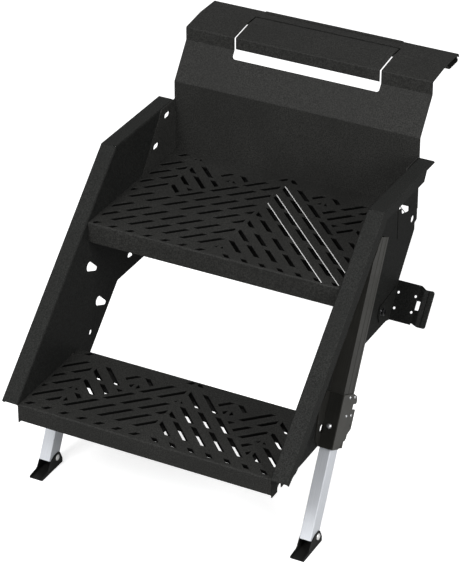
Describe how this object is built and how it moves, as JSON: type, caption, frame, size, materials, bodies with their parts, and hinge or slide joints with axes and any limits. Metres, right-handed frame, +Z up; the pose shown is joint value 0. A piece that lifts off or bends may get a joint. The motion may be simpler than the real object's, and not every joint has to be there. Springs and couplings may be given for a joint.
{
  "type": "two-step entry step",
  "caption": "Folding-sheet entry step with slotted treads, a handled threshold and height-adjustable legs on swivelling feet.",
  "frame": {"origin": "middle of the flat underside of the threshold channel, where the step rests on the door sill", "axes": "+X to the right as one faces the door, +Y into the doorway, +Z up"},
  "size_m": [0.704, 0.8138, 0.746],
  "materials": {
    "black_powder_coat": "fine textured matt powder coat",
    "panel_powder_coat": "fine textured matt powder coat",
    "black_extrusion": "satin black over ribbed aluminium",
    "bare_aluminium": "satin mill finish",
    "zinc_plate": "bright zinc plate",
    "dark_steel": "blackened steel",
    "black_plastic": "moulded, matt",
    "foot_black": "satin black"
  },
  "bodies": {
    "step_frame": {"lower_tread": "black_powder_coat", "upper_tread": "black_powder_coat", "lower_tread_stiffeners": "black_powder_coat", "upper_tread_stiffeners": "black_powder_coat", "right_side_panel": "panel_powder_coat", "left_side_panel": "panel_powder_coat", "riser_panel": "black_powder_coat", "threshold_channel": "black_powder_coat", "rear_strip": "black_powder_coat", "hinge_lugs": "black_powder_coat", "hinge_pin": "dark_steel", "right_mount_bracket": "black_powder_coat", "left_mount_bracket": "black_powder_coat", "bracket_bolts": "zinc_plate", "bracket_washers": "zinc_plate", "bracket_nuts": "zinc_plate", "right_leg_sleeve": "black_extrusion", "right_leg_collar": "black_powder_coat", "right_collar_rivets": "zinc_plate", "right_collar_screw": "zinc_plate", "right_lever_pin": "dark_steel", "left_leg_sleeve": "black_extrusion", "left_leg_collar": "black_powder_coat", "left_collar_rivets": "zinc_plate", "left_collar_screw": "zinc_plate", "left_lever_pin": "dark_steel"},
    "handle": {"lift_handle": "black_powder_coat"},
    "right_leg": {"right_leg_tube": "bare_aluminium", "right_leg_plug": "black_plastic", "right_foot_pin": "zinc_plate"},
    "right_shoe": {"right_foot": "foot_black"},
    "right_lever": {"right_lock_lever": "black_plastic"},
    "left_leg": {"left_leg_tube": "bare_aluminium", "left_leg_plug": "black_plastic", "left_foot_pin": "zinc_plate"},
    "left_shoe": {"left_foot": "foot_black"},
    "left_lever": {"left_lock_lever": "black_plastic"}
  },
  "joints": [
    {"name": "handle_hinge", "type": "hinge", "parent": "step_frame", "child": "handle", "pos_m": [0, -0.01275, 0.01175], "axis": [-1, 0, 0], "range_deg": [0, 25]},
    {"name": "right_leg_slide", "type": "slide", "parent": "step_frame", "child": "right_leg", "axis": [0, 0.454, 0.891], "range_m": [-0.08, 0.15]},
    {"name": "right_foot_hinge", "type": "hinge", "parent": "right_leg", "child": "right_shoe", "pos_m": [0.2875, -0.64509, -0.70796], "axis": [1, 0, 0], "range_deg": [-25, 25]},
    {"name": "right_lever_hinge", "type": "hinge", "parent": "step_frame", "child": "right_lever", "pos_m": [0.2875, -0.51832, -0.52833], "axis": [1, 0, 0], "range_deg": [0, 75]},
    {"name": "left_leg_slide", "type": "slide", "parent": "step_frame", "child": "left_leg", "axis": [0, 0.454, 0.891], "range_m": [-0.08, 0.15]},
    {"name": "left_foot_hinge", "type": "hinge", "parent": "left_leg", "child": "left_shoe", "pos_m": [-0.2875, -0.64509, -0.70796], "axis": [1, 0, 0], "range_deg": [-25, 25]},
    {"name": "left_lever_hinge", "type": "hinge", "parent": "step_frame", "child": "left_lever", "pos_m": [-0.2875, -0.51832, -0.52833], "axis": [1, 0, 0], "range_deg": [0, 75]}
  ]
}
